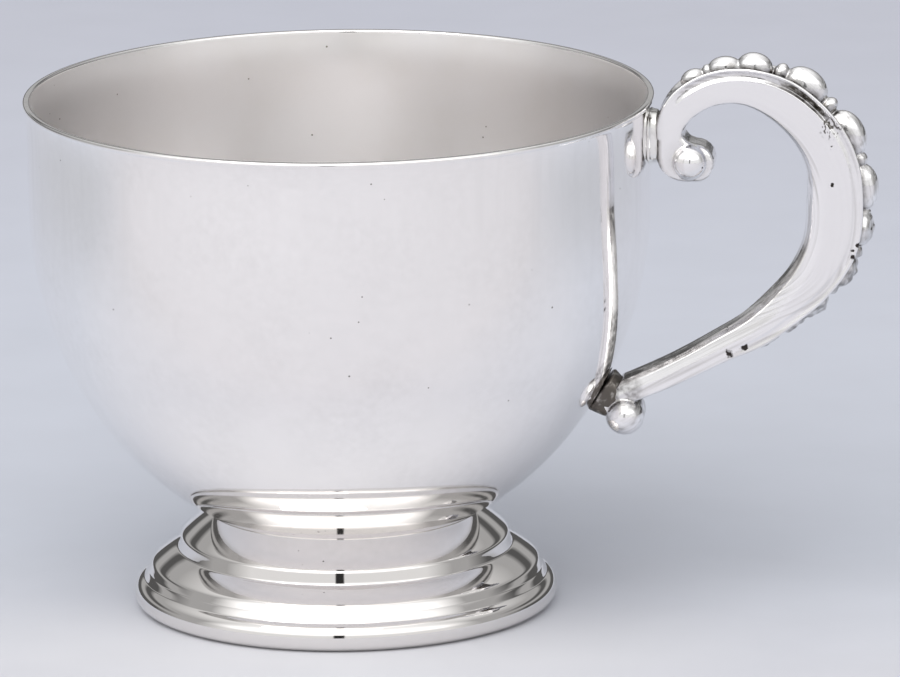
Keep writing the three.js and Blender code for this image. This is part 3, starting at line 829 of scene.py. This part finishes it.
# solder joints: where each starts, as (x, z) from the bowl's axis in mm, the way out that it goes, and its
# rings as (distance along that way, half width, half height); a squareness below 1 fills out a ring's
# corners, and a lean makes its upper edge higher at the back
upperSolder = {  # a neat pillar of hard solder, filed flush with the scroll and plated with it
    "middle": (39.5, 60.75),
    "out": (1, 0, 0),
    "rings": [(-0.35, 3.5, 4.1), (0.0, 3.0, 3.7), (0.3, 2.74, 3.5), (0.75, 2.68, 3.42), (1.2, 2.66, 3.42)],
    "points": 40,
    "squareness": 0.55,
    "lean": 0.22,
    "lump": 0.03,
    "lumpSize": 1.5,
    "seed": 1,  # any other number from 1 up gives other lumps
    "subdivisions": 2,
}
lowerSolder = {  # a rough wedge of soft solder, run in where the arm falls short of the bowl
    "middle": (33.15, 27.85),
    "out": joinSlope,
    "rings": [
        (-0.5, 3.1, 3.0), (0.1, 2.95, 2.9), (0.7, 2.85, 2.75), (1.3, 2.82, 2.6), (1.9, 2.8, 2.5),
        (2.3, 2.78, 2.4), (2.45, 2.55, 2.2),
    ],
    "points": 48,
    "squareness": 0.7,
    "lean": 0,
    "lump": 0.13,
    "lumpSize": 0.9,
    "seed": 1,
    "subdivisions": 2,
}


def makeJoint(name, node, material, j):
    out = Vector(j["out"]).normalized()
    up = out.cross((0, 1, 0)) * -1
    x, z = j["middle"]
    middle = Vector((axisX + x * mm, 0, z * mm))
    noise.seed_set(j["seed"])
    bm = bmesh.new()
    loops = []
    for along, width, height in j["rings"]:
        ring = bmesh.ops.create_circle(bm, segments=j["points"], radius=1)["verts"]
        for point in ring:
            sideways, upwards = (math.copysign(abs(v) ** j["squareness"], v) for v in point.co.xy)
            upwards += j["lean"] * sideways * max(upwards, 0)
            spot = middle + out * along * mm + up * upwards * height * mm
            point.co = spot + Vector((0, sideways * width * mm, 0))
            lump = Vector(noise.noise_vector(point.co / (j["lumpSize"] * mm)))
            point.co += lump * j["lump"] * mm
        loops.append([e for e in bm.edges if e.verts[0] in ring and e.verts[1] in ring])
    for first, second in zip(loops, loops[1:]):
        bmesh.ops.bridge_loops(bm, edges=first + second)
    for end in (loops[0], loops[-1]):
        bmesh.ops.contextual_create(bm, geom=end)
    bmesh.ops.recalc_face_normals(bm, faces=bm.faces)
    toPiece(name, bm, node, [material], j["subdivisions"])


makeJoint("upper_solder_pad", "upper_handle_solder", cleanSolder, upperSolder)
makeJoint("lower_solder_pad", "lower_handle_solder", darkSolder, lowerSolder)
print("solder made")


# studio floor: matt paper that falls off in tone away from the lamp; in metres from the middle of the cup
paper = {
    "size": 6,
    "front": "#CCCBD0",
    "near": "#C6CAD4",
    "far": "#BCBEC9",
    "frontSpan": (-0.07, 0.03),  # along Y from the first colour to the second
    "farSpan": (0, 0.36),  # and from the second to the third
    "glow": "#D8D8DC",  # light that the polished foot throws on the floor in front of it
    "glowSpan": (0.028, 0.062, 1, 0),  # from the bowl's axis
    "glowFront": (-0.03, 0, 1, 0),  # along Y
    "sides": "#B7B9BF",
    "sidesSpan": (0.12, 0.32),  # along X, either way
    "sidesFrom": (-0.1, 0.02),  # and along Y
    "fibre": 60,  # clouds of the paper in a metre
    "fibreRange": (0.3, 0.7, 0, 0.06),
    "fibreColour": "#8E9096",
    "roughness": 0.6,
    "gloss": 0.2,
}


def makeFloor(s):
    bm = bmesh.new()
    bmesh.ops.create_grid(bm, x_segments=1, y_segments=1, size=s["size"] / 2)
    mesh = bpy.data.meshes.new("floor")
    bm.to_mesh(mesh)
    bm.free()
    floor = bpy.data.objects.new("floor", mesh)
    bpy.context.scene.collection.objects.link(floor)
    material, tree = newMaterial("matt studio paper")
    mesh.materials.append(material)
    place = add(tree, "ShaderNodeTexCoord").outputs["Object"]
    parts = add(tree, "ShaderNodeSeparateXYZ", [place]).outputs
    near = add(tree, "ShaderNodeMapRange", [parts["Y"], *s["frontSpan"]])
    far = add(tree, "ShaderNodeMapRange", [parts["Y"], *s["farSpan"]])
    fromFoot = add(tree, "ShaderNodeVectorMath", [place, (axisX, 0, 0)], operation="DISTANCE")
    glow = add(tree, "ShaderNodeMapRange", [fromFoot, *s["glowSpan"]])
    front = add(tree, "ShaderNodeMapRange", [parts["Y"], *s["glowFront"]])
    glow = add(tree, "ShaderNodeMath", [glow, front], operation="MULTIPLY")
    aside = add(tree, "ShaderNodeMath", [parts["X"]], operation="ABSOLUTE")
    sides = add(tree, "ShaderNodeMapRange", [aside, *s["sidesSpan"]])
    back = add(tree, "ShaderNodeMapRange", [parts["Y"], *s["sidesFrom"]])
    sides = add(tree, "ShaderNodeMath", [sides, back], operation="MULTIPLY")
    fibre = add(tree, "ShaderNodeTexNoise", {"Vector": place, "Scale": s["fibre"], "Detail": 6})
    fibre = add(tree, "ShaderNodeMapRange", [fibre, *s["fibreRange"]])
    tone = linear(s["front"])
    layers = ((near, "near"), (far, "far"), (glow, "glow"), (sides, "sides"), (fibre, "fibreColour"))
    for share, name in layers:
        tone = add(tree, "ShaderNodeMix", [share, tone, linear(s[name])], data_type="RGBA")
    shader = add(tree, "ShaderNodeBsdfPrincipled", {
        "Base Color": tone, "Roughness": s["roughness"], "Specular IOR Level": s["gloss"],
    })
    add(tree, "ShaderNodeOutputMaterial", [shader])


# white tent: brightness by the direction's height and its Y, each from -1 to 1
tent = {
    "front": (0.25, 0.5, 0.85, 1.65),  # heights, and the brightness there: a softbox stands over the camera
    "frontEnds": (-0.45, -0.1),
    "side": 0.42,
    "back": 0.1,  # the unlit room
    "backBegins": (0.15, 0.5),
    "backLow": (0.13, 0.18, 1, 0),  # it shows below this height
    "backBand": (0.33, 0.03, 0.08),  # and in a higher band: its middle, and half its width to each soft edge
    "top": 1.1,
    "topBegins": (0.5, 0.95),
    "gap": 1.3,  # azimuth of the narrow opening in the tent that the camera looks through
    "gapWidth": (2.4, 3.4),  # half its width in degrees, to its soft edge
    "gapTop": (0.36, 0.44, 1, 0),
    "gapFront": (-0.3, 0, 1, 0),
    "gapTone": 0.04,
    "seen": paper["far"],  # the camera sees the floor's colour beyond the floor
}


def makeTent(s):
    world = bpy.data.worlds.new("white tent")
    bpy.context.scene.world = world
    world.use_nodes = True
    tree = world.node_tree
    tree.nodes.clear()
    way = add(tree, "ShaderNodeTexCoord").outputs["Generated"]
    parts = add(tree, "ShaderNodeSeparateXYZ", [way]).outputs
    middle, core, edge = s["backBand"]
    offBand = add(tree, "ShaderNodeMath", [parts["Z"], middle], operation="SUBTRACT")
    offBand = add(tree, "ShaderNodeMath", [offBand], operation="ABSOLUTE")
    band = add(tree, "ShaderNodeMapRange", [offBand, core, edge, 1, 0])
    low = add(tree, "ShaderNodeMapRange", [parts["Z"], *s["backLow"]])
    unlit = add(tree, "ShaderNodeMath", [low, band], operation="MAXIMUM")
    behind = add(tree, "ShaderNodeMapRange", [parts["Y"], *s["backBegins"]])
    unlit = add(tree, "ShaderNodeMath", [unlit, behind], operation="MULTIPLY")
    beside = add(tree, "ShaderNodeMapRange", [unlit, 0, 1, s["side"], s["back"]])
    ahead = add(tree, "ShaderNodeMapRange", [parts["Z"], *s["front"]])
    turned = add(tree, "ShaderNodeMapRange", [parts["Y"], *s["frontEnds"]])
    level = add(tree, "ShaderNodeMix", [turned, ahead, beside])
    above = add(tree, "ShaderNodeMapRange", [parts["Z"], *s["topBegins"]])
    level = add(tree, "ShaderNodeMix", [above, level, s["top"]])
    azimuth = math.radians(s["gap"])
    acrossGap = (math.cos(azimuth), math.sin(azimuth), 0)
    sideways = add(tree, "ShaderNodeVectorMath", [way, acrossGap], operation="DOT_PRODUCT")
    sideways = add(tree, "ShaderNodeMath", [sideways], operation="ABSOLUTE")
    edges = [math.sin(math.radians(angle)) for angle in s["gapWidth"]]
    gap = add(tree, "ShaderNodeMapRange", [sideways, *edges, 1, 0])
    below = add(tree, "ShaderNodeMapRange", [parts["Z"], *s["gapTop"]])
    front = add(tree, "ShaderNodeMapRange", [parts["Y"], *s["gapFront"]])
    for share in (below, front):
        gap = add(tree, "ShaderNodeMath", [gap, share], operation="MULTIPLY")
    gap = add(tree, "ShaderNodeMapRange", [gap, 0, 1, 1, s["gapTone"]])
    level = add(tree, "ShaderNodeMath", [level, gap], operation="MULTIPLY")
    lit = add(tree, "ShaderNodeBackground", {"Color": linear("#FFFFFF"), "Strength": level})
    plain = add(tree, "ShaderNodeBackground", {"Color": linear(s["seen"]), "Strength": 1})
    cameraRay = add(tree, "ShaderNodeLightPath").outputs["Is Camera Ray"]
    both = add(tree, "ShaderNodeMixShader", [cameraRay, lit, plain])
    add(tree, "ShaderNodeOutputWorld", [both])


# one soft lamp above and in front, turned to the middle of the floor
lamp = {
    "power": 9.0,
    "size": 1.2,
    "place": (-0.3, -0.8, 1.15),
}


def makeLamp(s):
    data = bpy.data.lights.new("soft lamp", "AREA")
    data.energy = s["power"]
    data.size = s["size"]
    softLamp = bpy.data.objects.new("soft lamp", data)
    bpy.context.scene.collection.objects.link(softLamp)
    softLamp.location = s["place"]
    softLamp.rotation_euler = Vector(s["place"]).to_track_quat("Z", "Y").to_euler()


makeFloor(paper)
makeTent(tent)
makeLamp(lamp)
bpy.context.scene.view_settings.view_transform = "Standard"
print("studio made")
